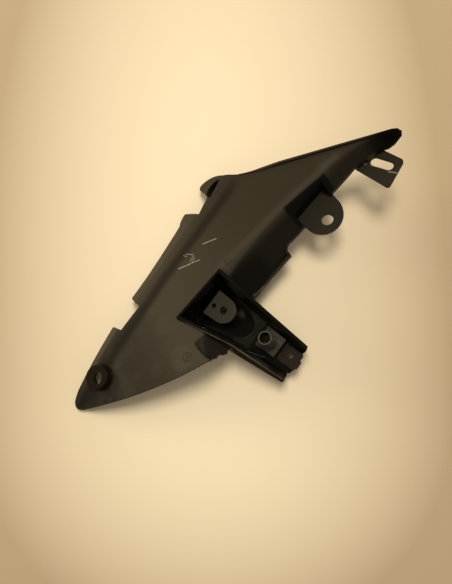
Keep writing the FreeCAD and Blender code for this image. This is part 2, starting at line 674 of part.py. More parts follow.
def build(doc):
    sheet = make_sheet(doc)
    size = read_sizes(sheet)
    below_face, below_skin = make_skin(doc, size)
    plate = make_plate(doc, size, below_face, below_skin)
    ear, ear_walls, ear_recess = make_round_ear(doc, size, below_face)
    far_ear = make_slotted_ear(doc, size, below_face)
    slot = make_slot(doc, "far_slot", size, "far", "sizes.ear_top - 2 * sizes.ear_plate",
                     "2 * sizes.ear_plate + 0.5")
    lip, groove = make_lip(doc, size)
    gutter_cup, gutter = make_gutter(doc, size, below_face)
    outer, channel, underside, pocket = make_arm(doc, size)
    pads, on_floor, bores, above_plate = make_arm_details(doc, size)
    break_block = make_break(doc, size)
    # the pad stands on the floor of the pocket, the block and end plate on the floor of the channel
    arm_hollow = cut(doc, "arm_hollow", fuse(doc, "arm_hollows", [channel, underside, pocket, above_plate]),
                     fuse(doc, "arm_kept", pads + on_floor))
    arm = fuse(doc, "arm_solid", [outer] + on_floor)
    arm.Placement = arm_place(size)
    arm_hollow.Placement = arm_place(size)
    arm_cuts = fuse(doc, "arm_cuts", bores + [break_block])
    arm_cuts.Placement = arm_place(size)
    boss = doc.addObject("Part::Cone", "tip_boss")
    bind(boss, Radius1="sizes.boss_diameter / 2 + sizes.boss_draft", Radius2="sizes.boss_diameter / 2",
         Height="sizes.boss_top - 3", Placement__Base__x="sizes.boss_x",
         Placement__Base__y="sizes.boss_y + sizes.boss_shift", Placement__Base__z="3")
    boss_trim = cut(doc, "tip_boss_trim", boss, below_skin)
    opened = cut(doc, "opened_plate", plate, fuse(doc, "openings", [ear_recess, gutter]))
    cup = cut(doc, "gutter_cup_open", gutter_cup, gutter)
    lip_part = cut(doc, "lip", lip, groove)
    body = fuse(doc, "body", [opened, ear, ear_walls, far_ear, cup, lip_part, boss_trim, arm])
    holes = fuse(doc, "holes", [
        make_slot(doc, "boss_slot", size, "boss", BELOW, THROUGH),
        cylinder(doc, "boss_hollow", "sizes.boss_x", "sizes.boss_y + sizes.boss_shift", BELOW,
                 "sizes.boss_diameter - 2 * sizes.skin_wall", "sizes.boss_top - sizes.boss_roof - (%s)" % BELOW),
        cylinder(doc, "ear_bore", "sizes.ear_x", "sizes.ear_y", BELOW, "sizes.ear_bore", THROUGH),
        slot, arm_hollow, arm_cuts])
    panel = cut(doc, "inner_panel", body, holes)
    panel.Label = "inner_panel"
    panel.Placement = resting(size)
    doc.recompute()
    return [panel]


def check(doc, parts):
    for thing in doc.Objects:
        if "Invalid" in thing.State or "Error" in thing.State:
            raise RuntimeError("%s did not build: %s" % (thing.Name, thing.State))
    for part in parts:
        shape = part.Shape
        if shape.isNull() or not shape.isValid() or not shape.Solids:
            raise RuntimeError("%s has no valid solid" % part.Label)


def main():
    doc = FreeCAD.newDocument("inner_panel")
    parts = build(doc)
    check(doc, parts)
    os.makedirs("parts", exist_ok=True)
    for part in parts:
        part.Shape.exportStep("parts/%s.step" % part.Label)
        box = part.Shape.BoundBox
        print(part.Label, "solids", len(part.Shape.Solids), "volume", round(part.Shape.Volume))
        print("box", [round(v, 2) for v in (box.XMin, box.YMin, box.ZMin, box.XMax, box.YMax, box.ZMax)])


main()
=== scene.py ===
"""Looks of the inner panel: matte plastic with a grained face, a glossier bracket arm and right wall,
scratches and moulded stamps, with light, shade and highlights painted into its colour in places,
on a warm table painted with a pool of light.

Places on the moulding are given in millimetres in its mould frame: X runs along the panel from the
pointed tip, Y to its left and Z out of the mould. Places on the arm are given across it, to its right,
and down it from its root. Everything else is in metres.

A step is given as the level where it starts and the level where it ends. A span is given as its two
ends and how soft they are. Around a round place both are in shares of its radius. A broken line is
given as its corners. A noise is given as its scale, its detail and its roughness.
"""
import bpy
import math
from mathutils import Matrix, Vector

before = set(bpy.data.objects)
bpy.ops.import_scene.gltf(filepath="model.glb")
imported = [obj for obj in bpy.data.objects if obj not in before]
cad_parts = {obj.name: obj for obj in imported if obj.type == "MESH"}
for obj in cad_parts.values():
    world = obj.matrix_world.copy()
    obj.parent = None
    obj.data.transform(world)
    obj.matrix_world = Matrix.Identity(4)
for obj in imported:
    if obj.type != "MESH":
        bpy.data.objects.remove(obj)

MM = 0.001

# How the mould frame lies on the table
MOULD_PLACE = Vector((-150.771, 7.976, 2.92)) * MM
MOULD_TURN = (math.radians(-15.609), math.radians(-7.667), 0.0)

# The arm's own frame inside the mould frame: X to the right, minus Y along the arm
ARM_PLACE = (125.5, -1.5, 0.0)
ARM_TURN = (0.0, 0.0, math.radians(13.8))

# The camera
CAMERA_PLACE = Vector((-35.54, -42.49, 471.24)) * MM
CAMERA_TURN = (math.radians(6.06), math.radians(1.19), math.radians(-39.774))
FOCAL_PIXELS = 627.0
PICTURE_WIDTH = 452.0
SENSOR_WIDTH = 36.0

# The light: places across and up the picture and over the table, all aimed at the middle of the panel
WORLD_STRENGTH = 0.38
OVERHEAD_LAMP = {"place": (0.0, 0.46, 1.35), "size": 0.45, "power": 13.6}
SIDE_LAMP = {"place": (-1.6, 0.5, 0.5), "size": 0.7, "power": 12.0}

# Colours, linear
# The face near the tip and far from it: the far colour is painted darker as the light falls off along the
# panel
FACE_NEAR = (0.040, 0.030, 0.016, 1)
FACE_FAR = (0.026, 0.018, 0.008, 1)
FLANGE_LIT = (0.043, 0.034, 0.017, 1)
# Worn plastic, and the painted highlight before the ridge
WORN_AND_HIGHLIGHT = (0.070, 0.058, 0.038, 1)
WALL = (0.009, 0.007, 0.004, 1)
# Black painted where shade falls: deep stretches of the wall, the pocket floor and the fold beside the patch
SHADE_BLACK = (0.002, 0.0018, 0.001, 1)
UNLIT = (0, 0, 0, 1)
EAR = (0.014, 0.010, 0.005, 1)
BOSS = (0.011, 0.007, 0.003, 1)
ARM = (0.0045, 0.0038, 0.002, 1)
ARM_FLOOR = (0.014, 0.013, 0.008, 1)
PAD = (0.038, 0.032, 0.020, 1)
BLOCK = (0.043, 0.038, 0.026, 1)
END_PLATE = (0.024, 0.017, 0.011, 1)
PATCH = (0.013, 0.009, 0.006, 1)
TORN = (0.024, 0.016, 0.009, 1)
RIM_HIGHLIGHT = (0.11, 0.09, 0.06, 1)
SCRATCH_AND_HIGHLIGHT = (0.34, 0.30, 0.22, 1)
SHEEN = (0.62, 0.54, 0.40, 1)
# The table's colours where its painted light is brightest and dimmest
TABLE_PAINTED_LIGHT = (0.93, 0.74, 0.455, 1)
TABLE_PAINTED_SHADE = (0.49, 0.345, 0.18, 1)
WHITE = (1, 1, 1, 1)

# Lines along the panel in plan: where the glossy wall begins under the ridge, the valley, and the crest
RIDGE = [(96, -70), (102, -46), (106, -25), (135, -8), (150, -1.2), (180, 0.4), (210, 3.2), (240, 4.0),
         (270, 6.0), (318, 3)]
VALLEY = [(-14, -12), (18, -3.4), (50, 7.5), (78, 15), (112, 25.5), (150, 35), (190, 45), (235, 57)]
CREST = [(-14, -3), (18, 4.6), (50, 15.5), (78, 23), (112, 33.5), (150, 44), (190, 55)]

# Painted light and shade along the panel: how light the face, the flange and the wall are painted at each
# place along it
FACE_PAINTED_LIGHT = [(0, 0.22), (20, 0.30), (45, 0.67), (70, 0.84), (97, 1.30), (130, 1.24), (180, 0.95),
              (250, 0.93), (300, 0.70)]
FLANGE_PAINTED_LIGHT = [(0, 0.95), (60, 1.25), (110, 1.0), (170, 0.7)]
WALL_PAINTED_LIGHT = [(205, 1), (245, 1.6), (275, 1.6), (300, 1)]

# The face: its far colour, painted darker as the light falls off, comes in along it, and wear, painted shade
# in the valley, a painted highlight before the ridge and specks lie over it
FACE_FAR_STEP = (60, 290)
VALLEY_OFF_STEP = (0.5, 6.5)
VALLEY_SPAN = (35, 196, 10.0)
VALLEY_SHARE = 0.8
RIDGE_BACK = -5.0
RIDGE_OFF_STEP = (0.0, 4.5)
RIDGE_SPAN = (138, 262, 8.0)
RIDGE_SHARE = 0.28
WEAR_STEP = (0.52, 0.75)
WEAR_SHARE = 0.30
SPECK_STEP = (0.55, 0.75)
SPECK_SHARE = 0.25
WORN_SPOT_PLACE = (88.5, -29.5)
WORN_SPOT_RADIUS = 11.0
WORN_SPOT_STEP = (0.55, 1.0)
WORN_SPOT_WEAR_STEP = (0.35, 0.6)
WORN_SPOT_SHARE = 0.45

# The flange beyond the crest, painted lighter than the face as the side lit by the lamp, and faded into the
# face near the tip
FLANGE_STEP = (0.0, 3.0)
FLANGE_NEAR_STEP = (8, 42)
FLANGE_FAR_STEP = (160, 172)

# The right wall: how far under the ridge its gloss begins and is full, along the panel
WALL_BEGIN = [(100, 3), (135, 1.5), (160, -2.5), (200, -2.4)]
WALL_FULL = [(100, 15), (135, 10), (160, 5.0), (200, 3.5)]
WALL_NEAR_STEP = (99, 106)

# Painted shade in the darkest stretches: behind the lip, in the recess of the round ear and at the far tip
BEHIND_LIP_SPAN = (128, 176, 7.0)
BEHIND_LIP_STEP = (2.0, 9.0)
BEHIND_LIP_SHARE = 0.8
RECESS_SPAN = (209, 246, 1.0)
RECESS_SIDE_STEP = (5.5, 7.0)
RECESS_HEIGHT_STEP = (-2.6, -1.8)
FAR_TIP_STEP = (276, 288)
FAR_TIP_WALL_STEP = (0.0, 4.0)
INSIDE_TIP_STEP = (286, 295)
INSIDE_TIP_SHARE = 0.85
TIP_HEIGHT_STEP = (-1.0, 1.0)

# The smooth patch beside the arm: its left edge as X over Y, ragged by a noise, and the painted shadow in
# the fold along it
PATCH_EDGE = [(-50, 106), (-45, 104.2), (-39, 101.8), (-30, 101.3), (-25, 103.4), (-20, 104)]
PATCH_RAGGED = 2.0
PATCH_LEFT_STEP = (-0.3, 0.5)
PATCH_RIGHT_STEP = (122.0, 124.0)
PATCH_TOP_STEP = (-28.0, -26.5)
FOLD_STEP = (0.8, 3.2)
FOLD_TOP_STEP = (-34.0, -30.0)
FOLD_SHARE = 0.8

# The two ears and the boss near the tip
ROUND_EAR_SPAN = (213, 244, 0.5)
ROUND_EAR_SIDE_STEP = (6, 8)
ROUND_EAR_HEIGHT_STEP = (-2.9, -2.4)
FAR_EAR_SPAN = (266, 295, 0.5)
FAR_EAR_SIDE_STEP = (-2, 1)
FAR_EAR_HEIGHT_STEP = (-1.8, -0.8)
BOSS_PLACE = (31.0, 0.7)
BOSS_RADIUS = 10.4
BOSS_STEP = (0.96, 1.02)
BOSS_HEIGHT_STEP = (5.0, 6.0)

# The arm's edges: how far each is to the right of its middle, down the arm, and the slant of its root
ARM_RIGHT = [(0, 23.3), (82, 16.0)]
ARM_LEFT = [(0, -23.3), (38.3, -15.6), (38.8, -20.0), (82, -16.2)]
ARM_LEFT_RIM = [(0, -23.0), (40, -15.0), (82, -12.4)]
ARM_SIDE_STEP = (-0.2, 0.2)
ARM_ROOT_STEP = (-0.3, 0.1)
ROOT_SLANT = 0.087
ROOT_SLANT_STEP = (0, 24)

# The dull outer face under the left rim, the painted highlight along that rim, broken up by the wear noise,
# and the torn end
OUTSIDE_STEP = (0.1, 0.6)
OUTSIDE_DOWN_STEP = (4, 10)
OUTSIDE_TOP_STEP = (-30, -26)
RIM_EDGE_RIGHT = 0.3
RIM_EDGE_STEP = (0.15, 0.55)
RIM_EDGE_SPAN = (6, 66, 4.0)
RIM_HIGHLIGHT_BREAK_STEP = (0.35, 0.6)
RIM_HIGHLIGHT_BREAK_SHARES = (0.2, 0.8)
TORN_STEP = (70.5, 74.5)
TORN_WEAR_STEP = (0.3, 0.7)

# The floors of the arm, with painted shade on the floor of the deep pocket: spans across it, steps down it
# and heights
ARM_FLOOR_SPAN = (-14, 14, 1.0)
ARM_FLOOR_DOWN_STEP = (22, 30)
ARM_FLOOR_LOW_STEP = (-11.5, -11.0)
ARM_FLOOR_HIGH_STEP = (-6.0, -2.0)
POCKET_SPAN = (-17, 17, 1.0)
POCKET_DOWN_STEP = (41.0, 41.5)
POCKET_HEIGHT_STEP = (-11.2, -9.0)

# The pad, the square block and the end plate, as boxes: across the arm, down it and in height
PAD_ACROSS = (-9.6, 11.0, 0.2)
PAD_DOWN = (4.6, 27.2, 0.2)
PAD_HEIGHT = (-2.0, 1.0, 0.3)
BLOCK_ACROSS = (-4.9, 11.1, 0.2)
BLOCK_DOWN = (46.8, 62.7, 0.2)
BLOCK_HEIGHT = (-17.5, 6.0, 0.5)
END_PLATE_ACROSS = (-4.4, 9.6, 0.2)
END_PLATE_DOWN = (62.6, 80.0, 0.2)
END_PLATE_HEIGHT_STEP = (-25.5, -24.5)

# The pad's two holes, as place and radius, and the tube on the block, with a painted highlight on its rim
HOLE_STEP = (0.98, 1.02)
PAD_SCREW_HOLE = ((0.8, 17.0), 3.1)
PAD_PIN_HOLE = ((-0.6, 8.8), 1.95)
PAD_HOLE_HEIGHT = (-20.0, 1.0, 0.3)
TUBE_PLACE = (3.1, 54.8)
TUBE_BORE_RADIUS = 4.0
TUBE_RIM_RADIUS = 4.5
TUBE_RIM_SPAN = (0.90, 1.0, 0.03)
TUBE_RIM_HEIGHT_STEP = (3.2, 3.8)
TUBE_RIM_SHARE = 0.6

# Scratches: from, to, width, strength; those on the arm are given across it and up towards its root
FACE_SCRATCHES = [
    ((149.4, 26.0), (159.8, 21.8), 0.55, 0.75),
    ((133.7, 29.6), (134.9, 26.8), 0.45, 0.55),
    ((135.5, 29.1), (139.9, 24.2), 0.45, 0.60),
    ((139.7, 23.8), (134.7, 21.9), 0.45, 0.60),
    ((139.2, 21.9), (134.9, 19.9), 0.45, 0.60),
    ((124.6, 24.0), (133.5, 20.4), 0.60, 0.80),
    ((133.0, 21.0), (141.2, 17.6), 0.50, 0.75),
]
EAR_SCRATCHES = [
    ((273.4, -1.2), (274.4, -2.6), 0.7, 0.40),
    ((275.7, -4.8), (278.7, -10.2), 0.45, 0.35),
    ((281.4, -17.4), (285.0, -22.2), 0.8, 0.55),
]
ARM_SCRATCHES = [
    ((-11.8, -48.8), (-8.3, -56.8), 0.32, 0.40),
    ((-16.6, -18.2), (-16.4, -19.6), 0.5, 0.35),
]

# Painted highlights along the edges of the grooved lip
LIP_EDGE_HIGHLIGHTS = [
    ((153.3, -22.8), (186.1, -18.7), 0.35, 0.30),
    ((153.5, -24.5), (186.3, -20.4), 0.35, 0.22),
]

# A scratch or painted lip highlight is full over this share of its width, fades over this length at its
# ends, and is broken up
STROKE_CORE = 0.15
STROKE_END = 0.4
STROKE_BREAK_STEP = (0.30, 0.48)
STROKE_BREAK_SHARES = (0.35, 1.0)
STROKE_ROUGHNESS = 0.7

# The heights at which scratches lie on the face and on the far ear, and painted highlights on the lip
FACE_HEIGHT_STEP = (10, 12)
EAR_HEIGHT = (-6.0, -1.0, 0.5)
LIP_HEIGHT = (-9.0, 1.0, 0.5)

# How far a surface faces up for scratches, painted lip highlights and stamps to show
UPPER_STEP = (0.0, 0.2)

# Round stamps on the face: place, radius; the ring and the dots as shares of the radius
STAMPS = [((155.6, 2.3), 2.6), ((92.2, -31.8), 3.8)]
STAMP_HEIGHT_STEP = (9, 12)
STAMP_RING = (0.82, 0.98, 0.08)
STAMP_DOTS_STEP = (0.70, 0.80)
STAMP_NOISE_STEP = (0.45, 0.58)
STAMP_DARK = 0.45

# Noises over the moulding
WEAR_NOISE = (0.035, 5.0, 0.62)
SPECK_NOISE = (1.4, 2.0, 0.7)
RAGGED_NOISE = (0.35, 3.0, 0.6)
STROKE_NOISE = (0.9, 3.0, 0.7)
STAMP_NOISE = (0.75, 0.0, 0.5)
GRAIN_NOISE = (1.6, 2.0, 0.6)

# How smooth the regions are, and how rough the plastic is where it is matte, smooth or dull
WALL_SMOOTH = 0.3
PATCH_SMOOTH = 0.25
EAR_SMOOTH = 0.3
GLOSS_WEAR_STEP = (0.3, 0.7)
MATTE_ROUGHNESS = (0.60, 0.72)
SMOOTH_ROUGHNESS = (0.18, 0.24)
DULL_ROUGHNESS = 1.0
PLASTIC_SPECULAR = 0.15

# Relief: grain over the face, less of it where the plastic is smooth, raised stamps, and cut scratches and
# painted lip highlights
EDGE_RADIUS = 0.5 * MM
EDGE_SAMPLES = 8
RELIEF_DEPTH = 0.06 * MM
RELIEF_STRENGTH = 0.6
SMOOTH_GRAIN = 0.15
STAMP_RELIEF = 4.0
STROKE_RELIEF = 2.0

# The table: a painted pool of light, dimmer away from its middle, seen across and up the picture, and paler
# again far out
TABLE_SIZE = 6.0
TABLE_ROUGHNESS = 0.8
TABLE_SPECULAR = 0.2
TABLE_MIDDLE = (-0.026, 0, 0)
DIM_ACROSS = 32.0
DIM_BELOW = 38.0
DIM_BELOW_START = 0.08
DIM_ABOVE = 5.0
DIM_ABOVE_START = 0.02
FAR_OUT_STEP = (0.27, 0.60)
FAR_OUT_DIM = 0.35


class Nodes:
    """A small helper that adds nodes to a material and links them."""

    def __init__(self, tree):
        self.tree = tree

    def add(self, kind, **settings):
        node = self.tree.nodes.new(kind)
        for name, value in settings.items():
            setattr(node, name, value)
        return node

    def feed(self, socket, value):
        if isinstance(value, bpy.types.NodeSocket):
            self.tree.links.new(value, socket)
        else:
            socket.default_value = value

    def math(self, operation, one, other=0.0, third=0.0, clamp=False):
        node = self.add("ShaderNodeMath", operation=operation, use_clamp=clamp)
        for socket, value in zip(node.inputs, (one, other, third)):
            self.feed(socket, value)
        return node.outputs[0]

    def minus(self, one, other):
        return self.math("SUBTRACT", one, other)

    def apart(self, one, other):
        """How far two values are apart."""
        return self.math("ABSOLUTE", self.minus(one, other))

    def square(self, value):
        return self.math("POWER", value, 2.0)

    def reach(self, across, up):
        """Distance from the origin in plan."""
        return self.math("SQRT", self.math("ADD", self.square(across), self.square(up)))

    def both(self, *shares):
        """Where all the shares hold."""
        result = shares[0]
        for share in shares[1:]:
            result = self.math("MULTIPLY", result, share)
        return result

    def either(self, *shares):
        """Where one of the shares holds."""
        result = shares[0]
        for share in shares[1:]:
            result = self.math("MAXIMUM", result, share)
        return result

    def ramp(self, value, low, high, from_value=0.0, to_value=1.0):
        """A smooth step of a value between two levels."""
        node = self.add("ShaderNodeMapRange", interpolation_type="SMOOTHSTEP")
        names = ("Value", "From Min", "From Max", "To Min", "To Max")
        for name, given in zip(names, (value, low, high, from_value, to_value)):
            self.feed(node.inputs[name], given)
        return node.outputs["Result"]

    def fall(self, value, low, high):
        """A smooth step down between two levels."""
        return self.ramp(value, low, high, 1.0, 0.0)

    def between(self, value, low, high, soft):
        """Where a value lies in a span with soft ends."""
        rise = self.ramp(value, low - soft, low + soft)
        return self.both(rise, self.fall(value, high - soft, high + soft))

    def mix(self, share, one, other):
        """A colour between two colours."""
        node = self.add("ShaderNodeMix", data_type="RGBA")
        self.feed(node.inputs["Factor"], share)
        self.feed(node.inputs["A"], one)
        self.feed(node.inputs["B"], other)
        return node.outputs["Result"]

    def laid_over(self, colour, *layers):
        """A colour with other colours laid over it in turn, each by its share."""
        for share, over in layers:
            colour = self.mix(share, colour, over)
        return colour

    def blend(self, share, one, other):
        """A value between two values."""
        node = self.add("ShaderNodeMix", data_type="FLOAT")
        self.feed(node.inputs["Factor"], share)
        self.feed(node.inputs["A"], one)
        self.feed(node.inputs["B"], other)
        return node.outputs["Result"]

    def shaded(self, colour, factor):
        """A colour made lighter or darker."""
        node = self.add("ShaderNodeVectorMath", operation="SCALE")
        self.feed(node.inputs[0], colour)
        self.feed(node.inputs["Scale"], factor)
        return node.outputs[0]

    def noise(self, place, scale, detail, roughness):
        node = self.add("ShaderNodeTexNoise")
        self.feed(node.inputs["Vector"], place)
        node.inputs["Scale"].default_value = scale
        node.inputs["Detail"].default_value = detail
        node.inputs["Roughness"].default_value = roughness
        return node.outputs["Fac"]

    def line(self, value, points):
        """A broken line over a value, as straight pieces."""
        low, high = points[0][0], points[-1][0]
        bottom = min(level for _, level in points)
        top = max(level for _, level in points)
        spots = [((at - low) / (high - low), (level - bottom) / (top - bottom)) for at, level in points]
        node = self.add("ShaderNodeFloatCurve")
        curve = node.mapping.curves[0]
        curve.points[0].location = spots[0]
        curve.points[-1].location = spots[-1]
        for spot in spots[1:-1]:
            curve.points.new(*spot)
        for point in curve.points:
            point.handle_type = "VECTOR"
        node.mapping.update()
        share = self.math("DIVIDE", self.minus(value, low), high - low, clamp=True)
        self.feed(node.inputs["Value"], share)
        return self.math("MULTIPLY_ADD", node.outputs["Value"], top - bottom, bottom)

    def into(self, place, origin, turn=(0, 0, 0), unit=1.0):
        """A place seen from another frame."""
        node = self.add("ShaderNodeMapping", vector_type="TEXTURE")
        self.feed(node.inputs["Vector"], place)
        node.inputs["Location"].default_value = origin
        node.inputs["Rotation"].default_value = turn
        node.inputs["Scale"].default_value = (unit, unit, unit)
        return node.outputs["Vector"]

    def split(self, vector):
        node = self.add("ShaderNodeSeparateXYZ")
        self.feed(node.inputs[0], vector)
        return node.outputs

    def stroke(self, place, start, end, width, strength):
        """A thin streak between two places in plan, fading at its sides and ends."""
        turn = math.atan2(end[1] - start[1], end[0] - start[0])
        length = math.hypot(end[0] - start[0], end[1] - start[1])
        along, across, _ = self.split(self.into(place, (start[0], start[1], 0), (0, 0, turn)))
        side = self.fall(self.math("ABSOLUTE", across), STROKE_CORE * width, width)
        return self.both(side, self.between(along, 0.0, length, STROKE_END), strength)

    def strokes(self, place, table):
        return self.either(*[self.stroke(place, *row) for row in table])

    def ring(self, x, y, centre, radius):
        """Distance from a centre in plan, as a share of a radius."""
        reach = self.reach(self.minus(x, centre[0]), self.minus(y, centre[1]))
        return self.math("DIVIDE", reach, radius)

    def hole(self, x, y, centre, radius):
        """Where a round hole is in plan."""
        return self.fall(self.ring(x, y, centre, radius), *HOLE_STEP)

    def bump(self, height, distance, strength, normal):
        node = self.add("ShaderNodeBump")
        node.inputs["Strength"].default_value = strength
        node.inputs["Distance"].default_value = distance
        self.feed(node.inputs["Height"], height)
        self.feed(node.inputs["Normal"], normal)
        return node.outputs["Normal"]


class PanelRegions:
    """Where each region of the moulding lies, as shares from 0 to 1."""

    def __init__(self, nodes):
        self.nodes = nodes
        place = nodes.add("ShaderNodeTexCoord").outputs["Object"]
        self.mould = nodes.into(place, MOULD_PLACE, MOULD_TURN, MM)
        self.x, self.y, self.z = nodes.split(self.mould)
        self.in_arm = nodes.into(self.mould, ARM_PLACE, ARM_TURN)
        self.side, back, _ = nodes.split(self.in_arm)
        self.down_arm = nodes.math("MULTIPLY", back, -1.0)
        facing = nodes.add("ShaderNodeNewGeometry").outputs["True Normal"]
        self.upper = nodes.ramp(nodes.split(facing)[2], *UPPER_STEP)

    def arm(self):
        """The whole bracket arm, from its slanted root."""
        n = self.nodes
        slant = n.both(n.fall(self.down_arm, *ROOT_SLANT_STEP), n.both(self.side, ROOT_SLANT))
        from_root = n.minus(self.down_arm, slant)
        in_right = n.ramp(n.minus(n.line(self.down_arm, ARM_RIGHT), self.side), *ARM_SIDE_STEP)
        in_left = n.ramp(n.minus(self.side, n.line(self.down_arm, ARM_LEFT)), *ARM_SIDE_STEP)
        return n.both(in_right, in_left, n.ramp(from_root, *ARM_ROOT_STEP))

    def left_rim(self):
        """How far the left rim is to the right of the arm's middle."""
        return self.nodes.line(self.down_arm, ARM_LEFT_RIM)

    def outside_left(self):
        """The dull outer face of the arm under its left rim."""
        n = self.nodes
        outside = n.ramp(n.minus(self.left_rim(), self.side), *OUTSIDE_STEP)
        return n.both(outside, n.ramp(self.down_arm, *OUTSIDE_DOWN_STEP), n.fall(self.y, *OUTSIDE_TOP_STEP))

    def rim_highlight(self):
        """A painted highlight along the left rim."""
        n = self.nodes
        off = n.apart(self.side, n.math("ADD", self.left_rim(), RIM_EDGE_RIGHT))
        return n.both(n.fall(off, *RIM_EDGE_STEP), n.between(self.down_arm, *RIM_EDGE_SPAN))

    def arm_floor(self):
        """The floor of the channel beyond the deep pocket."""
        n = self.nodes
        return n.both(n.between(self.side, *ARM_FLOOR_SPAN), n.ramp(self.down_arm, *ARM_FLOOR_DOWN_STEP),
                      n.ramp(self.z, *ARM_FLOOR_LOW_STEP), n.fall(self.z, *ARM_FLOOR_HIGH_STEP))

    def pocket_floor_shade(self):
        """Painted shade on the bottom of the deep pocket."""
        n = self.nodes
        return n.both(n.between(self.side, *POCKET_SPAN), n.fall(self.down_arm, *POCKET_DOWN_STEP),
                      n.fall(self.z, *POCKET_HEIGHT_STEP))

    def arm_box(self, across, down, height):
        """A box on the arm with soft sides."""
        n = self.nodes
        return n.both(n.between(self.side, *across), n.between(self.down_arm, *down), height)

    def pad(self):
        """The top of the fixing pad, and the sides of its two holes."""
        n = self.nodes
        top = self.arm_box(PAD_ACROSS, PAD_DOWN, n.between(self.z, *PAD_HEIGHT))
        holes = n.either(n.hole(self.side, self.down_arm, *PAD_SCREW_HOLE),
                         n.hole(self.side, self.down_arm, *PAD_PIN_HOLE))
        return n.either(top, n.both(holes, n.between(self.z, *PAD_HOLE_HEIGHT)))

    def block(self):
        """The square block under the tube."""
        return self.arm_box(BLOCK_ACROSS, BLOCK_DOWN, self.nodes.between(self.z, *BLOCK_HEIGHT))

    def end_plate(self):
        """The low plate between the block and the broken end."""
        low = self.nodes.fall(self.z, *END_PLATE_HEIGHT_STEP)
        return self.arm_box(END_PLATE_ACROSS, END_PLATE_DOWN, low)

    # The bore, painted unlit black as shade
    def tube_bore(self):
        return self.nodes.hole(self.side, self.down_arm, TUBE_PLACE, TUBE_BORE_RADIUS)

    def tube_rim_highlight(self):
        """A painted highlight on the edge around the bore, on top of the tube."""
        n = self.nodes
        around = n.between(n.ring(self.side, self.down_arm, TUBE_PLACE, TUBE_RIM_RADIUS), *TUBE_RIM_SPAN)
        return n.both(around, n.ramp(self.z, *TUBE_RIM_HEIGHT_STEP), TUBE_RIM_SHARE)

    def torn(self):
        """The ragged end where the arm broke off."""
        return self.nodes.ramp(self.down_arm, *TORN_STEP)

    def past_ridge(self):
        """Distance beyond the ridge over the right wall, positive on the wall."""
        return self.nodes.minus(self.nodes.line(self.x, RIDGE), self.y)

    def wall(self):
        """The glossy right wall under the ridge."""
        n = self.nodes
        begin = n.line(self.x, WALL_BEGIN)
        full = n.line(self.x, WALL_FULL)
        return n.both(n.ramp(self.past_ridge(), begin, full), n.ramp(self.x, *WALL_NEAR_STEP))

    def deep_wall_shade(self):
        """Painted shade in the darkest stretches: behind the lip, in the recess of the round ear and at the
        far tip.
        """
        n = self.nodes
        behind_lip = n.both(n.between(self.x, *BEHIND_LIP_SPAN), n.ramp(self.past_ridge(), *BEHIND_LIP_STEP))
        recess = n.both(n.between(self.x, *RECESS_SPAN), n.fall(self.y, *RECESS_SIDE_STEP),
                        n.ramp(self.z, *RECESS_HEIGHT_STEP))
        far_tip = n.both(n.ramp(self.x, *FAR_TIP_STEP), n.ramp(self.past_ridge(), *FAR_TIP_WALL_STEP),
                         n.ramp(self.z, *TIP_HEIGHT_STEP))
        return n.either(n.both(behind_lip, BEHIND_LIP_SHARE), recess, far_tip,
                        n.both(self.inside_tip(), INSIDE_TIP_SHARE))

    def inside_tip(self):
        """The end of the skin at the far tip, above the far ear."""
        n = self.nodes
        return n.both(n.ramp(self.x, *INSIDE_TIP_STEP), n.ramp(self.z, *TIP_HEIGHT_STEP))

    def valley(self):
        """Painted shade along the bottom of the valley."""
        n = self.nodes
        off = n.apart(self.y, n.line(self.x, VALLEY))
        return n.both(n.fall(off, *VALLEY_OFF_STEP), n.between(self.x, *VALLEY_SPAN))

    def ridge(self):
        """A painted highlight a little before the ridge over the right wall."""
        n = self.nodes
        off = n.apart(self.past_ridge(), RIDGE_BACK)
        return n.both(n.fall(off, *RIDGE_OFF_STEP), n.between(self.x, *RIDGE_SPAN))

    def patch(self):
        """The smooth dark patch where the skin turns down beside the arm."""
        n = self.nodes
        ragged = n.math("MULTIPLY_ADD", n.noise(self.mould, *RAGGED_NOISE), PATCH_RAGGED, -PATCH_RAGGED / 2)
        edge = n.math("ADD", n.line(self.y, PATCH_EDGE), ragged)
        return n.both(n.ramp(n.minus(self.x, edge), *PATCH_LEFT_STEP), n.fall(self.x, *PATCH_RIGHT_STEP),
                      n.fall(self.y, *PATCH_TOP_STEP))

    def patch_fold_shadow(self):
        """Painted shadow in the fold along the left edge of the patch."""
        n = self.nodes
        off = n.minus(self.x, n.line(self.y, PATCH_EDGE))
        return n.both(self.patch(), n.fall(off, *FOLD_STEP), n.fall(self.y, *FOLD_TOP_STEP), FOLD_SHARE)

    def ears(self):
        """The upper faces of the round ear and of the far ear."""
        n = self.nodes
        round_ear = n.both(n.between(self.x, *ROUND_EAR_SPAN), n.fall(self.y, *ROUND_EAR_SIDE_STEP),
                           n.fall(self.z, *ROUND_EAR_HEIGHT_STEP))
        far_ear = n.both(n.between(self.x, *FAR_EAR_SPAN), n.fall(self.y, *FAR_EAR_SIDE_STEP),
                         n.fall(self.z, *FAR_EAR_HEIGHT_STEP))
        return n.either(round_ear, far_ear)

    def boss(self):
        """The boss near the pointed tip."""
        n = self.nodes
        inside = n.fall(n.ring(self.x, self.y, BOSS_PLACE, BOSS_RADIUS), *BOSS_STEP)
        return n.both(inside, n.ramp(self.z, *BOSS_HEIGHT_STEP))

    def flange(self):
        """The left flange beyond the crest."""
        n = self.nodes
        past_crest = n.minus(self.y, n.line(self.x, CREST))
        return n.both(n.ramp(past_crest, *FLANGE_STEP), n.fall(self.x, *FLANGE_FAR_STEP))

    def worn_spot(self):
        """A worn round place on the face, around the larger stamp."""
        n = self.nodes
        return n.fall(n.ring(self.x, self.y, WORN_SPOT_PLACE, WORN_SPOT_RADIUS), *WORN_SPOT_STEP)


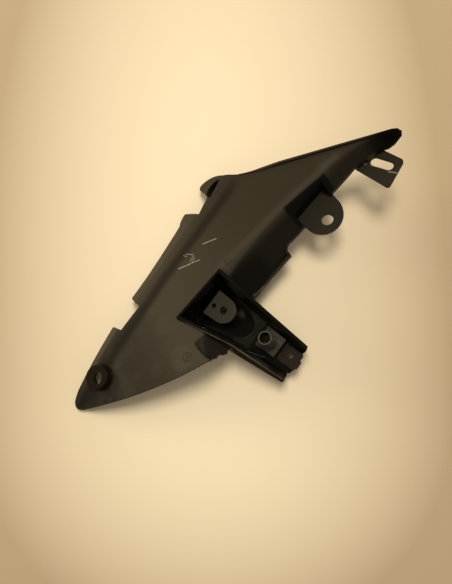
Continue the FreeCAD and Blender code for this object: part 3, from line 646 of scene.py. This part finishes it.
def face_colour(nodes, region, wear):
    """The grained face with painted light and shade along it, painted shade in its valley, a painted
    highlight before its ridge, and its wear.
    """
    specks = nodes.noise(region.mould, *SPECK_NOISE)
    plain = nodes.mix(nodes.ramp(region.x, *FACE_FAR_STEP), FACE_NEAR, FACE_FAR)
    return nodes.laid_over(
        nodes.shaded(plain, nodes.line(region.x, FACE_PAINTED_LIGHT)),
        (nodes.both(nodes.ramp(wear, *WEAR_STEP), WEAR_SHARE), WORN_AND_HIGHLIGHT),
        # painted shade in the valley, in the colour of the boss
        (nodes.both(region.valley(), VALLEY_SHARE), BOSS),
        # painted highlight before the ridge
        (nodes.both(region.ridge(), RIDGE_SHARE), WORN_AND_HIGHLIGHT),
        (nodes.both(nodes.ramp(specks, *SPECK_STEP), SPECK_SHARE), BOSS),
        (nodes.both(region.worn_spot(), nodes.ramp(wear, *WORN_SPOT_WEAR_STEP), WORN_SPOT_SHARE), WORN_AND_HIGHLIGHT),
    )


def arm_colour(nodes, region, wear):
    """The bracket arm with its floors, pad, block, tube, end plate, broken end and rim, painted shade in the
    pocket and the bore, and painted highlights on the tube's rim and the left rim.
    """
    return nodes.laid_over(
        nodes.mix(region.arm_floor(), ARM, ARM_FLOOR),
        (region.pocket_floor_shade(), SHADE_BLACK),
        (region.pad(), PAD),
        (region.block(), BLOCK),
        (region.tube_rim_highlight(), RIM_HIGHLIGHT),
        (region.tube_bore(), UNLIT),
        (region.end_plate(), END_PLATE),
        (nodes.both(region.torn(), nodes.ramp(wear, *TORN_WEAR_STEP)), TORN),
        (nodes.both(region.rim_highlight(), nodes.ramp(wear, *RIM_HIGHLIGHT_BREAK_STEP, *RIM_HIGHLIGHT_BREAK_SHARES)), RIM_HIGHLIGHT),
    )


def panel_colour(nodes, region, arm, wear):
    """The colour of the whole moulding, and how smooth each region is."""
    wall = region.wall()
    patch = region.patch()
    ears = region.ears()
    boss = region.boss()
    # The flange is painted lighter than the face as its lit side, and takes the face's painted shade near
    # the tip
    flange = nodes.both(region.flange(), nodes.ramp(region.x, *FLANGE_NEAR_STEP))
    colour = nodes.laid_over(
        face_colour(nodes, region, wear),
        (flange, nodes.shaded(FLANGE_LIT[:3], nodes.line(region.x, FLANGE_PAINTED_LIGHT))),
        # Painted light: the wall's colour is made lighter between the two ears
        (wall, nodes.shaded(WALL[:3], nodes.line(region.x, WALL_PAINTED_LIGHT))),
        (region.deep_wall_shade(), SHADE_BLACK),
        (patch, PATCH),
        (region.patch_fold_shadow(), SHADE_BLACK),
        (ears, EAR),
        (boss, BOSS),
        (arm, arm_colour(nodes, region, wear)),
    )
    smooth = nodes.either(nodes.both(wall, WALL_SMOOTH), nodes.both(patch, PATCH_SMOOTH),
                          nodes.both(ears, EAR_SMOOTH), boss, arm)
    return colour, smooth


def marks(nodes, region, arm):
    """Scratches, and painted highlights along the edges of the lip, each only on its own surface."""
    on_face = nodes.both(nodes.ramp(region.z, *FACE_HEIGHT_STEP), nodes.minus(1.0, arm))
    on_ear = nodes.between(region.z, *EAR_HEIGHT)
    on_lip = nodes.between(region.z, *LIP_HEIGHT)
    all_strokes = nodes.either(
        nodes.both(nodes.strokes(region.mould, FACE_SCRATCHES), on_face),
        nodes.both(nodes.strokes(region.mould, EAR_SCRATCHES), on_ear),
        nodes.both(nodes.strokes(region.in_arm, ARM_SCRATCHES), arm),
        nodes.both(nodes.strokes(region.mould, LIP_EDGE_HIGHLIGHTS), on_lip),
    )
    flecks = nodes.noise(region.mould, *STROKE_NOISE)
    broken = nodes.ramp(flecks, *STROKE_BREAK_STEP, *STROKE_BREAK_SHARES)
    return nodes.both(all_strokes, region.upper, broken)


def stamps(nodes, region):
    """Round moulded stamps: a raised ring around fine marks."""
    high = nodes.ramp(region.z, *STAMP_HEIGHT_STEP)
    speckled = nodes.ramp(nodes.noise(region.mould, *STAMP_NOISE), *STAMP_NOISE_STEP)
    raised = []
    for centre, radius in STAMPS:
        reach = nodes.ring(region.x, region.y, centre, radius)
        edge = nodes.between(reach, *STAMP_RING)
        dots = nodes.both(nodes.fall(reach, *STAMP_DOTS_STEP), speckled)
        raised.append(nodes.both(nodes.either(edge, dots), high))
    return nodes.both(nodes.either(*raised), region.upper)


def panel_roughness(nodes, region, smooth, arm, wear, scratches_and_highlights):
    """Matte on the face, smooth on the arm, the wall, the patch, the ears and the boss, dull outside."""
    matte = nodes.ramp(wear, *GLOSS_WEAR_STEP, *MATTE_ROUGHNESS)
    rough = nodes.blend(smooth, matte, nodes.ramp(wear, *GLOSS_WEAR_STEP, *SMOOTH_ROUGHNESS))
    dull = nodes.either(nodes.both(region.outside_left(), arm), region.inside_tip())
    return nodes.blend(scratches_and_highlights, nodes.blend(dull, rough, DULL_ROUGHNESS), STROKE_ROUGHNESS)


def panel_relief(nodes, region, smooth, scratches_and_highlights, stamped):
    """Slightly rounded edges, with grain, raised stamps, and scratches and painted lip highlights cut into
    them.
    """
    rounded = nodes.add("ShaderNodeBevel", samples=EDGE_SAMPLES)
    rounded.inputs["Radius"].default_value = EDGE_RADIUS
    grain = nodes.both(nodes.noise(region.mould, *GRAIN_NOISE), nodes.blend(smooth, 1.0, SMOOTH_GRAIN))
    raised = nodes.math("ADD", grain, nodes.both(stamped, STAMP_RELIEF))
    height = nodes.minus(raised, nodes.both(scratches_and_highlights, STROKE_RELIEF))
    return nodes.bump(height, RELIEF_DEPTH, RELIEF_STRENGTH, rounded.outputs["Normal"])


def new_material(name):
    """A plain material with the helper for its nodes and its shader's inputs."""
    material = bpy.data.materials.new(name)
    material.use_nodes = True
    return material, Nodes(material.node_tree), material.node_tree.nodes["Principled BSDF"].inputs


def panel_material():
    material, nodes, shader = new_material("panel_plastic_look")
    region = PanelRegions(nodes)
    wear = nodes.noise(region.mould, *WEAR_NOISE)
    arm = region.arm()
    colour, smooth = panel_colour(nodes, region, arm, wear)
    scratches_and_highlights = marks(nodes, region, arm)
    stamped = stamps(nodes, region)
    colour = nodes.laid_over(colour, (nodes.both(stamped, STAMP_DARK), BOSS), (scratches_and_highlights, SCRATCH_AND_HIGHLIGHT))
    nodes.feed(shader["Base Color"], colour)
    nodes.feed(shader["Roughness"], panel_roughness(nodes, region, smooth, arm, wear, scratches_and_highlights))
    nodes.feed(shader["Normal"], panel_relief(nodes, region, smooth, scratches_and_highlights, stamped))
    shader["Specular IOR Level"].default_value = PLASTIC_SPECULAR
    shader["Specular Tint"].default_value = SHEEN
    return material


def table_material():
    """A warm table with a painted pool of light, brightest in the middle of the picture."""
    material, nodes, shader = new_material("table")
    place = nodes.add("ShaderNodeTexCoord").outputs["Object"]
    across, up, _ = nodes.split(nodes.into(place, TABLE_MIDDLE, (0, 0, CAMERA_TURN[2])))
    below = nodes.math("MINIMUM", nodes.math("ADD", up, DIM_BELOW_START), 0.0)
    above = nodes.math("MAXIMUM", nodes.minus(up, DIM_ABOVE_START), 0.0)
    dim = nodes.both(nodes.square(across), DIM_ACROSS)
    dim = nodes.math("ADD", dim, nodes.both(nodes.square(below), DIM_BELOW))
    dim = nodes.math("ADD", dim, nodes.both(nodes.square(above), DIM_ABOVE), clamp=True)
    dim = nodes.both(dim, nodes.ramp(nodes.reach(across, up), *FAR_OUT_STEP, 1.0, FAR_OUT_DIM))
    nodes.feed(shader["Base Color"], nodes.mix(dim, TABLE_PAINTED_LIGHT, TABLE_PAINTED_SHADE))
    shader["Roughness"].default_value = TABLE_ROUGHNESS
    shader["Specular IOR Level"].default_value = TABLE_SPECULAR
    return material


def make_table():
    bpy.ops.mesh.primitive_plane_add(size=TABLE_SIZE, location=(0, 0, 0))
    table = bpy.context.object
    table.name = "table"
    table.data.materials.append(table_material())


def make_camera():
    data = bpy.data.cameras.new("camera")
    data.sensor_fit = "HORIZONTAL"
    data.sensor_width = SENSOR_WIDTH
    data.lens = FOCAL_PIXELS / PICTURE_WIDTH * SENSOR_WIDTH
    camera = bpy.data.objects.new("camera", data)
    camera.location = CAMERA_PLACE
    camera.rotation_euler = CAMERA_TURN
    bpy.context.scene.collection.objects.link(camera)
    bpy.context.scene.camera = camera


def picture_place(across, up, height):
    """A place over the table, given across and up the picture."""
    return Matrix.Rotation(CAMERA_TURN[2], 3, "Z") @ Vector((across, up, height))


def area_lamp(name, place, size, power):
    """A square lamp over the table, aimed at the middle of the panel."""
    data = bpy.data.lights.new(name, "AREA")
    data.shape = "SQUARE"
    data.size = size
    data.energy = power
    lamp = bpy.data.objects.new(name, data)
    lamp.location = picture_place(*place)
    lamp.rotation_euler = (-lamp.location).to_track_quat("-Z", "Y").to_euler()
    bpy.context.scene.collection.objects.link(lamp)


def make_light():
    world = bpy.data.worlds.new("studio")
    world.use_nodes = True
    background = world.node_tree.nodes["Background"]
    background.inputs["Color"].default_value = WHITE
    background.inputs["Strength"].default_value = WORLD_STRENGTH
    bpy.context.scene.world = world
    area_lamp("overhead", **OVERHEAD_LAMP)
    area_lamp("side", **SIDE_LAMP)


def main():
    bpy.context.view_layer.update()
    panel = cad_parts["inner_panel"]
    panel.data.materials.clear()
    panel.data.materials.append(panel_material())
    make_table()
    make_camera()
    make_light()
    bpy.context.scene.view_settings.view_transform = "Standard"


main()
